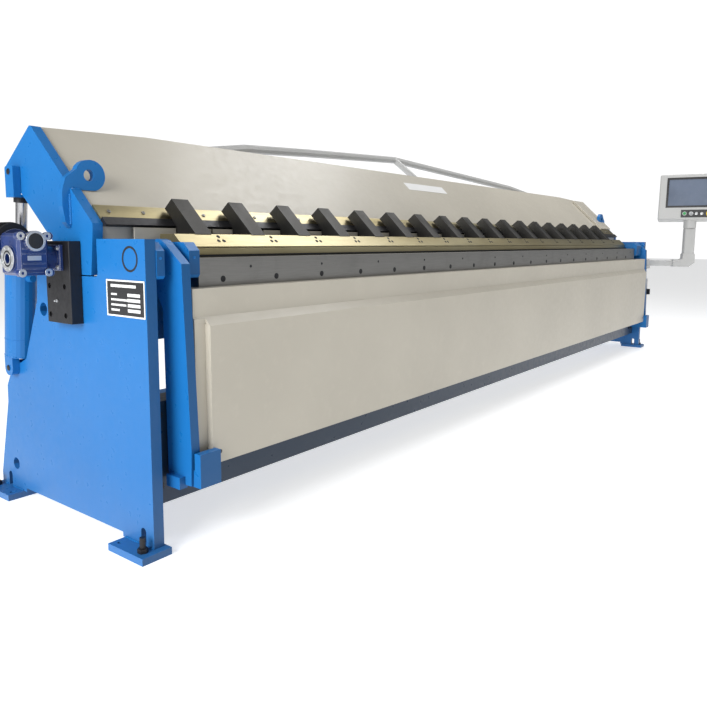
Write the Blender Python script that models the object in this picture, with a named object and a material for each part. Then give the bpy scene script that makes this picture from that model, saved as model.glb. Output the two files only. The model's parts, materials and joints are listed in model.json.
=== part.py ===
"""Swing-beam sheet folding machine, about 5 m long.

A fixed table between two side plates, a tilting clamping beam with eighteen fingers above it, and a
folding beam hinged at the table's front edge. Metres. X runs along the machine, Y from front to
back and Z up. The left side plate's outer face is X = 0, its front edge Y = 0 and the floor Z = 0.
"""

import math

import bmesh
import bpy
from mathutils import Matrix, Vector

LENGTH = 5.04           # over the side plates' outer faces
TABLE_HEIGHT = 0.90     # top of the side plates
GAP = 0.0003            # clearance between pieces that touch
SEGMENTS = 24           # sides of a round piece

# Side plates and feet
PLATE = 0.035
PLATE_DEPTH_FOOT = 0.890
NOTCH_FRONT, NOTCH_FLOOR = 0.228, 0.790
FOOT = 0.020
FOOT_REACH = 0.058      # how far a foot plate stands out of the side plate

# Folding beam, which turns about the line through both fold pins
FOLD_Y, FOLD_Z = 0.069, 0.845
FOLD_PIN_R = 0.030
ARM_X, ARM_T = 0.0930, 0.030
APRON_X = 0.130
APRON_FRONT_TOP, APRON_FRONT_LOW = -0.035, -0.062
APRON_TOP, APRON_BOTTOM = 0.760, 0.242
LEDGE_TOP, LEDGE_LOW = 0.678, 0.654
BLADE_FRONT = 0.012
BLADE_LEFT, BLADE_RIGHT = 0.200, 4.745   # the blades stop short of the right pivot block

# Clamping beam, which turns about the line through both pivots
CLAMP_Y, CLAMP_Z = 0.385, 0.843
CLAMP_PIN_R = 0.024
CLAMP_LOBE_R = 0.0495
END_PLATE_X, END_PLATE_T = 0.0006, 0.0338
NOSE_Y = 0.090
CLAMP_FACE_Z = 0.8762   # underside of the clamping blade

# Fingers
FINGERS = 18
FINGER_X, FINGER_PITCH, FINGER_W = 0.285, 0.2430, 0.066

# Lift cylinders
CYL_X = 0.0175
CYL_BASE = (0.745, 0.463)
CYL_TOP = (0.670, 1.113)
BARREL_R, ROD_R, CYL_PIN_R = 0.051, 0.018, 0.010
CHEEK_INNER, CHEEK_OUTER = 0.0181, 0.0425   # from the cylinder's middle plane

# Control pendant
ARM_PIVOT = (5.175, 0.030, 0.722)
ARM_HEADING = math.radians(-65)   # from +X
ARM_REACH = 0.335
ARM_RISE = 0.296
PENDANT_FACE = math.radians(-170)  # heading of the screen's normal, from +X
PENDANT_TILT = math.radians(10)
PENDANT_W, PENDANT_H, PENDANT_D = 0.50, 0.39, 0.11


def clear_scene():
    for obj in list(bpy.data.objects):
        bpy.data.objects.remove(obj, do_unlink=True)


def collection(name, helper=False):
    made = bpy.data.collections.new(name)
    bpy.context.scene.collection.children.link(made)
    made.hide_render = helper
    return made


clear_scene()
PARTS = collection("folding_machine")
CUTTERS = collection("cutters", helper=True)


def material(name, colour, roughness, metallic=0.0):
    made = bpy.data.materials.new(name)
    made.use_nodes = True
    shader = made.node_tree.nodes["Principled BSDF"]
    shader.inputs["Base Color"].default_value = (*colour, 1.0)
    shader.inputs["Roughness"].default_value = roughness
    shader.inputs["Metallic"].default_value = metallic
    made.diffuse_color = (*colour, 1.0)
    return made


BLUE = material("blue_paint", (0.06, 0.27, 0.68), 0.35)
NAVY = material("navy_paint", (0.02, 0.05, 0.16), 0.4)
CREAM = material("cream_paint", (0.62, 0.57, 0.48), 0.4)
BLACK = material("black_oxide", (0.03, 0.03, 0.033), 0.5, 0.6)
STEEL = material("ground_steel", (0.36, 0.35, 0.34), 0.35, 1.0)
GOLD = material("gilt_steel", (0.72, 0.62, 0.30), 0.3, 1.0)
CHROME = material("chrome", (0.8, 0.8, 0.82), 0.1, 1.0)
GREY = material("pale_grey_paint", (0.55, 0.56, 0.56), 0.4)
RED = material("red_plastic", (0.65, 0.03, 0.03), 0.35)
GREEN = material("green_plastic", (0.05, 0.45, 0.12), 0.35)


# ---- shape helpers -------------------------------------------------------------------------------

def new_object(name, mesh, look):
    obj = bpy.data.objects.new(name, mesh)
    PARTS.objects.link(obj)
    obj.data.materials.clear()
    obj.data.materials.append(look)
    return obj


def from_bmesh(name, bm, look):
    mesh = bpy.data.meshes.new(name)
    bmesh.ops.recalc_face_normals(bm, faces=bm.faces)
    bm.to_mesh(mesh)
    bm.free()
    return new_object(name, mesh, look)


def box(name, low, high, look, bevel=0.0):
    """A block between two corners, its edges rounded by bevel."""
    bm = bmesh.new()
    size = [b - a for a, b in zip(low, high)]
    centre = [(a + b) / 2 for a, b in zip(low, high)]
    place = Matrix.Translation(centre) @ Matrix.Diagonal((*size, 1.0))
    bmesh.ops.create_cube(bm, size=1.0, matrix=place)
    if bevel:
        bmesh.ops.bevel(bm, geom=bm.edges[:], offset=bevel, segments=1, affect="EDGES")
    return from_bmesh(name, bm, look)


def rod(name, start, end, radius, look, end_radius=None, segments=SEGMENTS):
    """A cylinder or cone between two points."""
    a, b = Vector(start), Vector(end)
    turn = (b - a).to_track_quat("Z", "Y").to_matrix().to_4x4()
    bm = bmesh.new()
    bmesh.ops.create_cone(
        bm, cap_ends=True, segments=segments, radius1=radius,
        radius2=radius if end_radius is None else end_radius, depth=(b - a).length,
        matrix=Matrix.Translation((a + b) / 2) @ turn)
    obj = from_bmesh(name, bm, look)
    obj.data.shade_smooth()
    obj.data.set_sharp_from_angle(angle=math.radians(35))
    return obj


def arc(centre, radius, start, end, steps=8):
    """Points of an arc, angles in degrees."""
    angles = [math.radians(start + (end - start) * i / steps) for i in range(steps + 1)]
    return [(centre[0] + radius * math.cos(a), centre[1] + radius * math.sin(a)) for a in angles]


def circle(centre, radius, steps=20):
    return arc(centre, radius, 0, 360 - 360 / steps, steps - 1)


PLANES = {  # plane: columns that take a curve's x, y and z to the world's
    "YZ": Matrix(((0, 0, 1, 0), (1, 0, 0, 0), (0, 1, 0, 0), (0, 0, 0, 1))),
    "XZ": Matrix(((1, 0, 0, 0), (0, 0, -1, 0), (0, 1, 0, 0), (0, 0, 0, 1))),
}


def plate(name, outlines, low, high, look, plane="YZ"):
    """A flat outline with its holes, extruded from low to high across its plane."""
    curve = bpy.data.curves.new(name, "CURVE")
    curve.dimensions = "2D"
    curve.fill_mode = "BOTH"
    curve.extrude = (high - low) / 2
    for outline in outlines:
        spline = curve.splines.new("POLY")
        spline.points.add(len(outline) - 1)
        for point, (x, y) in zip(spline.points, outline):
            point.co = (x, y, 0, 1)
        spline.use_cyclic_u = True
    guide = bpy.data.objects.new(name, curve)
    CUTTERS.objects.link(guide)
    bpy.context.view_layer.update()
    graph = bpy.context.evaluated_depsgraph_get()
    mesh = bpy.data.meshes.new_from_object(guide.evaluated_get(graph))
    bpy.data.objects.remove(guide, do_unlink=True)
    middle = (low + high) / 2
    shift = (middle, 0, 0) if plane == "YZ" else (0, middle, 0)
    bm = bmesh.new()
    bm.from_mesh(mesh)
    bmesh.ops.remove_doubles(bm, verts=bm.verts, dist=0.00001)
    bmesh.ops.transform(bm, matrix=Matrix.Translation(shift) @ PLANES[plane], verts=bm.verts)
    return from_bmesh(name, bm, look)


def combine(obj, operation, others):
    """Booleans on obj with the other objects, which become cutters."""
    for other in others:
        modifier = obj.modifiers.new(other.name, "BOOLEAN")
        modifier.operation = operation
        modifier.object = other
        PARTS.objects.unlink(other)
        CUTTERS.objects.link(other)
        other.hide_render = True
        other.display_type = "WIRE"
    return obj


def join(obj, *others):
    return combine(obj, "UNION", others)


def cut(obj, *others):
    return combine(obj, "DIFFERENCE", others)


def mirrored(obj, name):
    """The same piece at the machine's other end, with its Booleans applied."""
    bpy.context.view_layer.update()
    graph = bpy.context.evaluated_depsgraph_get()
    mesh = bpy.data.meshes.new_from_object(obj.evaluated_get(graph))
    bm = bmesh.new()
    bm.from_mesh(mesh)
    flip = Matrix.Translation((LENGTH, 0, 0)) @ Matrix.Diagonal((-1, 1, 1, 1))
    bmesh.ops.transform(bm, matrix=flip @ obj.matrix_world, verts=bm.verts)
    return from_bmesh(name, bm, obj.data.materials[0])


def pivot(name, place, pieces, parent=None):
    """An empty on a joint's axis, which carries the pieces that turn or slide with it."""
    empty = bpy.data.objects.new(name, None)
    CUTTERS.objects.link(empty)
    empty.location = place
    bpy.context.view_layer.update()
    if parent:
        adopt(parent, [empty])
    adopt(empty, pieces)
    return empty


def adopt(parent, pieces):
    for piece in pieces:
        piece.parent = parent
        piece.matrix_parent_inverse = parent.matrix_world.inverted()
    bpy.context.view_layer.update()


# ---- side frames ---------------------------------------------------------------------------------

def side_plate():
    """Cut plate welded to its foot plates: a notch takes the clamping beam's end plate, the lug at
    the rear the cylinder's fork, and the pad inside the inner half of the clamping pivot."""
    slot, low = 0.012, FOOT
    outline = [(0.0, low), (0.0, TABLE_HEIGHT), (NOTCH_FRONT, TABLE_HEIGHT)]
    outline += arc((NOTCH_FRONT + 0.012, NOTCH_FLOOR + 0.012), 0.012, 180, 270, 4)
    outline += [(0.572, NOTCH_FLOOR), (0.580, 0.702), (0.672, 0.500), (0.708, 0.482)]
    outline += arc(CYL_BASE, 0.024, 140, 0, 8)
    outline += [(0.815, 0.389), (0.817, 0.330), (PLATE_DEPTH_FOOT, 0.060), (PLATE_DEPTH_FOOT, low),
                (0.842, low)]
    outline += arc((0.842 - slot, 0.062), slot, 0, 180, 6)
    outline += [(0.842 - 2 * slot, low), (0.720, low), (0.720, 0.034), (0.150, 0.034),
                (0.150, low), (0.048 + slot, low)]
    outline += arc((0.048, 0.062), slot, 0, 180, 6)
    outline += [(0.048 - slot, low)]
    holes = [circle((0.782, 0.112), 0.021), circle((0.543, 0.675), 0.022, 16),
             circle(CYL_BASE, CYL_PIN_R + 0.0006, 16),
             circle((FOLD_Y, FOLD_Z), FOLD_PIN_R + 0.0025, SEGMENTS)]
    body = plate("side_plate_left", [outline] + holes, 0.0, PLATE, BLUE)
    feet = [box(f"foot_{i}", (-FOOT_REACH, y0, 0.0), (PLATE + 0.008, y1, FOOT + 0.0015), BLUE)
            for i, (y0, y1) in enumerate(((-0.024, 0.140), (0.735, 0.905)))]
    levels = [rod(f"foot_hole_{i}", (x, y, -0.01), (x, y, 0.04), 0.0095, BLACK, segments=16)
              for i, (x, y) in enumerate(LEVEL_HOLES)]
    anchors = [rod(f"anchor_hole_{i}", (x, y, -0.01), (x, y, 0.04), 0.007, BLACK, segments=32)
               for i, (x, y) in enumerate(ANCHOR_HOLES)]
    lug = [(CLAMP_Y + 0.048, 0.690)] + arc((CLAMP_Y, CLAMP_Z), 0.048, 0, 180, 10)
    lug += [(CLAMP_Y - 0.048, 0.690)]
    bore = circle((CLAMP_Y, CLAMP_Z), CLAMP_PIN_R + 0.0006, SEGMENTS)
    inner = plate("pivot_lug", [lug, bore], PLATE + 0.0004, PLATE + 0.022, BLUE)
    pad = box("pivot_pad", (0.025, CLAMP_Y - 0.040, 0.700), (PLATE + 0.018, CLAMP_Y + 0.040, 0.775),
              BLUE)
    join(body, *feet, inner, pad)
    return cut(body, *levels, *anchors)


LEVEL_HOLES = ((-0.030, 0.012), (-0.030, 0.872))
ANCHOR_HOLES = ((-0.034, 0.118), (-0.034, 0.760))


def levelling_bolt(name, place):
    """A set screw through a foot plate, with its lock nut."""
    x, y = place
    screw = rod(name, (x, y, 0.0), (x, y, 0.066), 0.0085, BLACK, segments=12)
    nut = rod("lock_nut", (x, y, FOOT + 0.0018), (x, y, FOOT + 0.0145), 0.0155, BLACK, segments=6)
    return join(screw, nut)


def pivot_blocks():
    """Bearing blocks on both sides of the folding arm. The outer one carries the fold pin."""
    outline = [(0.005, 0.790), (0.135, 0.790), (0.135, 0.892), (0.022, 0.892), (-0.003, 0.868),
               (-0.003, 0.799)]
    outer = plate("pivot_block_outer_left", [outline], PLATE + GAP, 0.0620, BLUE)
    pin = rod("fold_pin", (0.0003, FOLD_Y, FOLD_Z), (0.147, FOLD_Y, FOLD_Z), FOLD_PIN_R, BLUE)
    join(outer, pin)
    plate("pivot_block_inner_left", [outline], 0.1480, 0.1860, BLUE)
    plate("pivot_block_inner_right", [outline], BLADE_RIGHT + 0.014, LENGTH - 0.1480, BLUE)
    mirrored(outer, "pivot_block_outer_right")


# ---- table and cross members ---------------------------------------------------------------------

def table():
    """Box beam under the bend line, its lower blade, and the sheet that ties the feet together."""
    inner, outer = PLATE + GAP, 0.140
    shell = [(outer, 0.600), (0.275, 0.600), (0.275, 0.8745), (outer, 0.8745)]
    hollow = [(outer + 0.015, 0.615), (0.260, 0.615), (0.260, 0.8545), (outer + 0.015, 0.8545)]
    beam = plate("table_beam", [shell, hollow], inner, LENGTH - inner, BLUE)
    nose = plate("table_nose", [[(0.078, 0.800), (0.142, 0.700), (0.142, 0.8514), (0.078, 0.8514)]],
                 BLADE_LEFT - 0.010, BLADE_RIGHT + 0.010, BLUE)
    recess = box("blade_seat", (0.150, 0.05, 0.8514), (LENGTH - 0.150, 0.1603, 0.90), BLUE)
    join(beam, nose)
    cut(beam, recess)
    blade = plate("table_blade", [[(0.090, 0.8517), (0.160, 0.8517), (0.160, 0.8750),
                                   (0.092, 0.8750), (0.090, 0.8730)]],
                  BLADE_LEFT, BLADE_RIGHT, GOLD)
    return beam, blade


def crossmembers():
    inner = PLATE + GAP
    front = plate("front_crossmember",
                  [[(0.060, 0.120), (0.150, 0.120), (0.150, 0.135), (0.075, 0.135),
                    (0.075, 0.415), (0.150, 0.415), (0.150, 0.430), (0.060, 0.430)]],
                  inner, LENGTH - inner, NAVY)
    shell = [(0.690, 0.120), (0.790, 0.120), (0.790, 0.270), (0.690, 0.270)]
    hollow = [(0.698, 0.128), (0.782, 0.128), (0.782, 0.262), (0.698, 0.262)]
    rear = plate("rear_crossmember", [shell, hollow], inner, LENGTH - inner, BLUE)
    return front, rear


# ---- clamping beam -------------------------------------------------------------------------------

SLOPE_FOOT, SLOPE_TOP = (0.2455, 0.945), (0.5665, 1.250)
SLOPE = Vector((SLOPE_TOP[0] - SLOPE_FOOT[0], SLOPE_TOP[1] - SLOPE_FOOT[1])).normalized()


def on_slope(along, depth):
    """A point from the slope's foot: along it, and depth behind it."""
    return (SLOPE_FOOT[0] + SLOPE.x * along + SLOPE.y * depth,
            SLOPE_FOOT[1] + SLOPE.y * along - SLOPE.x * depth)


def end_plate():
    """Kite-shaped end plate in the side plate's notch, with its pivot lobe and the eye's slot."""
    outline = [SLOPE_TOP, (0.576, 1.251), (0.742, 1.134), (0.736, 1.122), (0.466, 0.892)]
    outline += arc((CLAMP_Y, CLAMP_Z), CLAMP_LOBE_R, 10, -90, 8)
    outline += [(0.262, CLAMP_Z - CLAMP_LOBE_R), (0.2455, 0.925), SLOPE_FOOT]
    holes = [circle((CLAMP_Y, CLAMP_Z), CLAMP_PIN_R + 0.0006, SEGMENTS),
             circle(CYL_TOP, CYL_PIN_R + 0.0006, 16)]
    body = plate("end_plate_left", [outline] + holes, END_PLATE_X, END_PLATE_X + END_PLATE_T, BLUE)
    slot = [(-0.030, 0.9296), (0.0003, 0.9303), (0.0166, 0.9355), (0.0207, 0.9898),
            (0.0305, 1.0375), (0.050, 1.0400), (0.050, 1.200), (-0.030, 1.200)]
    return cut(body, plate("eye_slot", [slot], 0.3567, 0.3803, BLUE, "XZ"))


def lifting_eye():
    """Hook-shaped plate let into the end plate's face, its head over the beam's slope."""
    """Hook-shaped eye plate across the end plate's front edge."""
    head, radius = (0.068, 1.091), 0.0465
    outline = arc((head[0] + 0.007, head[1]), radius, -95, 90, 12)
    outline += arc(head, radius, 90, 160, 4)
    outline += [(-0.012, 1.080), (-0.024, 1.042), (-0.025, 0.995), (-0.017, 0.949),
                (0.000, 0.931), (0.016, 0.936), (0.020, 0.990), (0.030, 1.038)]
    hole = circle((head[0] - 0.002, head[1]), 0.0175, 32)
    eye = plate("lifting_eye_left", [outline, hole], 0.357, 0.380, BLUE, "XZ")
    clearance = plate("eye_clearance", [[(0.230, 0.900), (0.230, 0.9250), (0.5885, 1.2660),
                                         (0.700, 1.2660), (0.700, 0.900)]], 0.0348, 0.300, BLUE)
    return cut(eye, clearance)


BEAM_BACK = 0.632
BEAM_TAPER, BEAM_DROP = 0.45, 0.026   # length at each end over which the beam's crest falls


def beam_box():
    """Folded box of the clamping beam between the end plates, its crest lower at both ends."""
    shell = [on_slope(0.478, 0.007), (BEAM_BACK, 1.238), (BEAM_BACK, 1.046), (0.498, 0.909),
             (0.330, 0.909), (0.300, 0.881), (0.256, 0.881), on_slope(0.0, 0.007)]
    hollow = [on_slope(0.466, 0.015), (BEAM_BACK - 0.008, 1.234), (BEAM_BACK - 0.008, 1.050),
              (0.495, 0.918), (0.327, 0.918), (0.297, 0.889), (0.265, 0.889),
              on_slope(0.004, 0.015)]
    inner = END_PLATE_X + END_PLATE_T + 2 * GAP
    beam = plate("beam_box", [shell, hollow], inner, LENGTH - inner, CREAM)
    bm = bmesh.new()
    bm.from_mesh(beam.data)
    for x in (BEAM_TAPER, LENGTH - BEAM_TAPER):
        bmesh.ops.bisect_plane(bm, geom=bm.verts[:] + bm.edges[:] + bm.faces[:], dist=0.00001,
                               plane_co=(x, 0, 0), plane_no=(1, 0, 0))
    for vertex in bm.verts:
        if vertex.co.z > 1.20 and not 0.1 < vertex.co.x < LENGTH - 0.1:
            vertex.co.y -= BEAM_DROP * SLOPE.x
            vertex.co.z -= BEAM_DROP * SLOPE.y
    bm.to_mesh(beam.data)
    bm.free()
    return beam


def rails():
    """The gilt and black clamping rails along the beam's front."""
    inner = END_PLATE_X + END_PLATE_T + 2 * GAP
    gilt = [on_slope(0.016, -0.006), on_slope(0.075, -0.006), on_slope(0.075, 0.0067),
            on_slope(0.016, 0.0067)]
    black = [on_slope(-0.016, -0.012), on_slope(0.0157, -0.012), on_slope(0.0157, 0.0067),
             on_slope(-0.006, 0.0067)]
    return (plate("gilt_rail", [gilt], inner, LENGTH - inner, GOLD),
            plate("black_rail", [black], inner, LENGTH - inner, BLACK))


def clamp_blade():
    outline = [(NOSE_Y, CLAMP_FACE_Z), (0.200, CLAMP_FACE_Z), (0.200, 0.9165), (0.132, 0.9165),
               (NOSE_Y, 0.8790)]
    return plate("clamp_blade", [outline], BLADE_LEFT + 0.003, BLADE_RIGHT - 0.003, GOLD)


def finger(number):
    """One clamping finger: sloped front, and a foot that meets the black rail."""
    outline = [(0.130, 0.9170), (0.2252, 0.9170), on_slope(-0.0160, -0.0125),
               on_slope(0.0050, -0.0125), (0.243, 0.9640), (0.281, 0.9985), (0.245, 1.0290)]
    start = FINGER_X + FINGER_PITCH * (number - 1)
    return plate(f"finger_{number:02d}", [outline], start, start + FINGER_W, STEEL)


def truss():
    """Bent tension tube over the beam, and the strut that spreads it."""
    half = [(0.56, 0.662, 1.222), (1.10, 0.752, 1.308), (1.60, 0.815, 1.345), (2.52, 0.885, 1.400)]
    points = half + [(LENGTH - x, y, z) for x, y, z in half[-2::-1]]
    radius = 0.020
    curve = bpy.data.curves.new("truss_tube", "CURVE")
    curve.dimensions = "3D"
    curve.bevel_depth = radius
    curve.bevel_resolution = 2
    curve.use_fill_caps = True
    spline = curve.splines.new("POLY")
    spline.points.add(len(points) - 1)
    for point, place in zip(spline.points, points):
        point.co = (*place, 1)
    guide = bpy.data.objects.new("truss_guide", curve)
    CUTTERS.objects.link(guide)
    bpy.context.view_layer.update()
    graph = bpy.context.evaluated_depsgraph_get()
    mesh = bpy.data.meshes.new_from_object(guide.evaluated_get(graph))
    bpy.data.objects.remove(guide, do_unlink=True)
    bm = bmesh.new()
    bm.from_mesh(mesh)
    bmesh.ops.remove_doubles(bm, verts=bm.verts, dist=0.00001)
    tube = from_bmesh("truss_rod", bm, GREY)
    strut = rod("truss_strut", (2.52, 0.645, 1.215), (2.52, 0.882, 1.398), 0.018, GREY, segments=12)
    pads = [box(f"truss_pad_{i}", (x - 0.030, BEAM_BACK + GAP, 1.190), (x + 0.030, 0.655, 1.236),
                GREY)
            for i, x in enumerate((0.575, LENGTH / 2, LENGTH - 0.575))]
    return join(tube, strut, *pads)


# ---- folding beam --------------------------------------------------------------------------------

def fold_arm():
    """Hinge arm and, welded to its foot, the block that carries the apron's corner."""
    outline = [(-0.035, 0.832), (0.030, 0.884)]
    outline += arc((FOLD_Y, FOLD_Z), 0.056, 110, -40, 8)
    outline += [(0.052, 0.700), (0.046, 0.195), (-0.056, 0.195), (-0.060, 0.300)]
    bore = circle((FOLD_Y, FOLD_Z), FOLD_PIN_R + 0.0006, SEGMENTS)
    body = plate("fold_arm_left", [outline, bore], ARM_X, ARM_X + ARM_T, BLUE)
    foot = box("arm_foot", (0.1015, -0.088, 0.192), (0.178, APRON_FRONT_LOW - 0.0004, 0.292), BLUE)
    under = box("arm_under", (0.1015, -0.080, 0.192), (0.178, 0.040, APRON_BOTTOM - 0.0004), BLUE)
    stub = box("arm_stub", (0.072, -0.030, 0.185), (0.100, 0.030, 0.220), BLUE)
    return join(body, foot, under, stub)


def apron():
    """Folded front box below the bending blade, with a shelf where the lower face stands proud."""
    front = [(APRON_FRONT_TOP, APRON_TOP), (APRON_FRONT_TOP, LEDGE_TOP),
             (APRON_FRONT_LOW, LEDGE_LOW), (APRON_FRONT_LOW, APRON_BOTTOM)]
    shell = front + [(0.045, APRON_BOTTOM), (0.045, APRON_TOP)]
    wall = 0.008
    hollow = [(APRON_FRONT_TOP + wall, APRON_TOP - wall),
              (APRON_FRONT_TOP + wall, LEDGE_TOP - 0.004),
              (APRON_FRONT_LOW + wall, LEDGE_LOW - 0.004),
              (APRON_FRONT_LOW + wall, APRON_BOTTOM + wall),
              (0.045 - wall, APRON_BOTTOM + wall), (0.045 - wall, APRON_TOP - wall)]
    panel = plate("apron_box", [shell, hollow], APRON_X, LENGTH - APRON_X, CREAM)
    corner = 0.040
    for i, (low, high) in enumerate(((0.0, APRON_X + corner), (LENGTH - APRON_X - corner, LENGTH))):
        relief = box(f"apron_relief_{i}", (low, -0.2, 0.1),
                     (high, APRON_FRONT_TOP - 0.006, 0.9), CREAM)
        cut(panel, relief)
    for end, low in enumerate((APRON_X + 0.0007, LENGTH - APRON_X - corner - 0.006)):
        high = low + corner + 0.0053
        back = box(f"apron_margin_{end}", (low, -0.0404, APRON_BOTTOM + 0.001),
                   (high, -0.0335, 0.669), CREAM)
        step_x = APRON_X + corner - 0.0006 if end == 0 else LENGTH - APRON_X - corner - 0.006
        step = box(f"apron_step_{end}", (step_x, APRON_FRONT_LOW + 0.003, APRON_BOTTOM + 0.0015),
                   (step_x + 0.0066, -0.035, 0.657), CREAM)
        join(panel, back, step)
    return panel


def apron_blade():
    """Bending blade on the apron, its top edge level with the fold axis."""
    outline = [(BLADE_FRONT, APRON_TOP + GAP), (0.066, APRON_TOP + GAP), (0.066, 0.8440),
               (0.064, 0.8460), (BLADE_FRONT, 0.8460)]
    return plate("apron_blade", [outline], BLADE_LEFT - 0.006, BLADE_RIGHT + 0.006, STEEL)


# ---- lift cylinders ------------------------------------------------------------------------------

def cylinder_axis(fraction):
    """A point on the cylinder's centre line, from the base pin (0) to the clevis pin (1)."""
    (y0, z0), (y1, z1) = CYL_BASE, CYL_TOP
    return (CYL_X, y0 + (y1 - y0) * fraction, z0 + (z1 - z0) * fraction)


def fork(name, centre, reach, crown, corner, look):
    """Two cheeks across a plate on the middle plane, with their pin. Reach is up or down."""
    y, z = centre
    side = -1 if reach > 0 else 1
    tip = z + side * (crown - corner)
    outline = arc((y + 0.026 - corner, tip), corner, 0, side * 90, 5)
    outline += arc((y - 0.026 + corner, tip), corner, side * 90, side * 180, 5)
    outline += [(y - 0.026, z + reach), (y + 0.026, z + reach)]
    cheeks = [plate(f"{name}_cheek_{i}", [outline], x, x + CHEEK_OUTER - CHEEK_INNER, look)
              for i, x in enumerate((CYL_X - CHEEK_OUTER, CYL_X + CHEEK_INNER))]
    pin = rod(f"{name}_pin", (CYL_X - CHEEK_OUTER - 0.0015, y, z),
              (CYL_X + CHEEK_OUTER + 0.0015, y, z), CYL_PIN_R, look, segments=16)
    return [*cheeks, pin]


def barrel():
    """Cylinder barrel with its gland, base fork and port, bored for the rod."""
    body = rod("cylinder_barrel_left", cylinder_axis(0.060), cylinder_axis(0.615), BARREL_R, BLUE)
    gland = rod("gland", cylinder_axis(0.60), cylinder_axis(0.670), BARREL_R - 0.008, BLUE)
    x, y, z = cylinder_axis(0.470)
    port = rod("port", (x, y - 0.030, z), (x, y - 0.078, z), 0.012, BLUE, segments=12)
    bore = rod("rod_bore", cylinder_axis(0.12), cylinder_axis(0.70), ROD_R + 0.004, BLUE)
    join(body, gland, port, *fork("base", CYL_BASE, 0.048, 0.026, 0.024, BLUE))
    return cut(body, bore)


def piston_rod():
    """Rod with the fork and pin that hold the end plate's rear corner."""
    body = rod("cylinder_rod_left", cylinder_axis(0.285), cylinder_axis(0.885), ROD_R, CHROME)
    y, z = CYL_TOP
    yoke = box("yoke", (CYL_X - CHEEK_OUTER, y - 0.026, z - 0.081),
               (CYL_X + CHEEK_OUTER, y + 0.026, z - 0.0725), CHROME)
    collar = rod("rod_collar", cylinder_axis(0.852), cylinder_axis(0.878), 0.024, CHROME)
    return join(body, collar, yoke, *fork("top", CYL_TOP, -0.077, 0.018, 0.008, CHROME))


# ---- drive on the left end -----------------------------------------------------------------------

def clamp_bearing():
    """Black bearing plate on the side plate, with the pin the clamping beam turns on."""
    body = box("clamp_bearing_left", (-0.039, 0.311, 0.647), (-GAP, 0.445, 0.893), BLACK, 0.0015)
    pin = rod("clamp_pin", (-0.020, CLAMP_Y, CLAMP_Z), (PLATE + 0.021, CLAMP_Y, CLAMP_Z),
              CLAMP_PIN_R, BLACK)
    holes = [rod(f"screw_hole_{i}", (-0.05, y, z), (-0.028, y, z), 0.0085, BLACK, segments=12)
             for i, (y, z) in enumerate(BEARING_SCREWS)]
    join(body, pin)
    return cut(body, *holes)


BEARING_SCREWS = [(y, z) for y in (0.343, 0.428) for z in (0.671, 0.758)]


GEARBOX_X = (-0.176, -0.085)
WORM_X, WORM_Z = -0.130, 0.893


def gearbox():
    """Worm gearbox on the clamping pivot: output ring on its side, cast ears, flange to the bearing."""
    y0, y1, z0, z1 = 0.336, 0.440, 0.795, 0.915
    body = box("geared_motor", (GEARBOX_X[0], y0, z0), (GEARBOX_X[1], y1, z1), NAVY, 0.008)
    ring = rod("output_ring", (GEARBOX_X[0] - 0.007, CLAMP_Y, CLAMP_Z),
               (GEARBOX_X[0] + 0.01, CLAMP_Y, CLAMP_Z), 0.036, STEEL)
    bore = rod("output_bore", (-0.25, CLAMP_Y, CLAMP_Z), (GEARBOX_X[0] + 0.02, CLAMP_Y, CLAMP_Z),
               0.014, STEEL, segments=16)
    neck = rod("output_neck", (GEARBOX_X[1] - 0.01, CLAMP_Y, CLAMP_Z), (-0.048, CLAMP_Y, CLAMP_Z),
               0.034, NAVY)
    flange = box("drive_flange", (-0.052, 0.340, 0.806), (-0.0394, 0.430, 0.882), NAVY, 0.002)
    ears = [rod(f"ear_{i}", (x, y0 - 0.006, z), (x, y0 + 0.014, z), 0.0115, STEEL, segments=12)
            for i, (x, z) in enumerate(((x, z) for x in (GEARBOX_X[0] + 0.007, GEARBOX_X[1] - 0.001)
                                        for z in (z0 + 0.008, z1 - 0.008)))]
    join(body, ring, neck, flange, *ears)
    return cut(body, bore)


def geared_motor():
    """The gearbox with the cover on its worm's front end and the motor behind it, one unit."""
    cover = rod("worm_cover", (WORM_X, 0.323, WORM_Z), (WORM_X, 0.340, WORM_Z), 0.0285, STEEL)
    y0, y1 = 0.436, 0.600
    motor = rod("drive_motor", (WORM_X, y0 + 0.010, WORM_Z), (WORM_X, y1, WORM_Z), 0.052, BLACK)
    flange = rod("motor_flange", (WORM_X, y0, WORM_Z - 0.015), (WORM_X, y0 + 0.012, WORM_Z - 0.015),
                 0.050, BLACK)
    fan = rod("fan_cover", (WORM_X, y1 - 0.004, WORM_Z), (WORM_X, y1 + 0.030, WORM_Z), 0.048, BLACK)
    terminal = box("terminal_box", (WORM_X - 0.082, 0.490, WORM_Z - 0.034),
                   (WORM_X - 0.040, 0.570, WORM_Z + 0.034), BLACK, 0.004)
    return join(gearbox(), cover, motor, flange, fan, terminal)


# ---- hydraulic unit, switch box and pendant ------------------------------------------------------

def hydraulic_unit():
    """Oil tank on the rear tie, with its pump motor and valve block."""
    tank = box("hydraulic_unit", (2.20, 0.470, 0.150), (2.80, 0.6895, 0.400), GREY, 0.008)
    motor = rod("pump_motor", (2.36, 0.580, 0.395), (2.36, 0.580, 0.600), 0.070, GREY)
    valves = box("valve_block", (2.52, 0.530, 0.395), (2.70, 0.630, 0.480), GREY, 0.003)
    return join(tank, motor, valves)


SWITCH_FACE = 0.000


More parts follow.
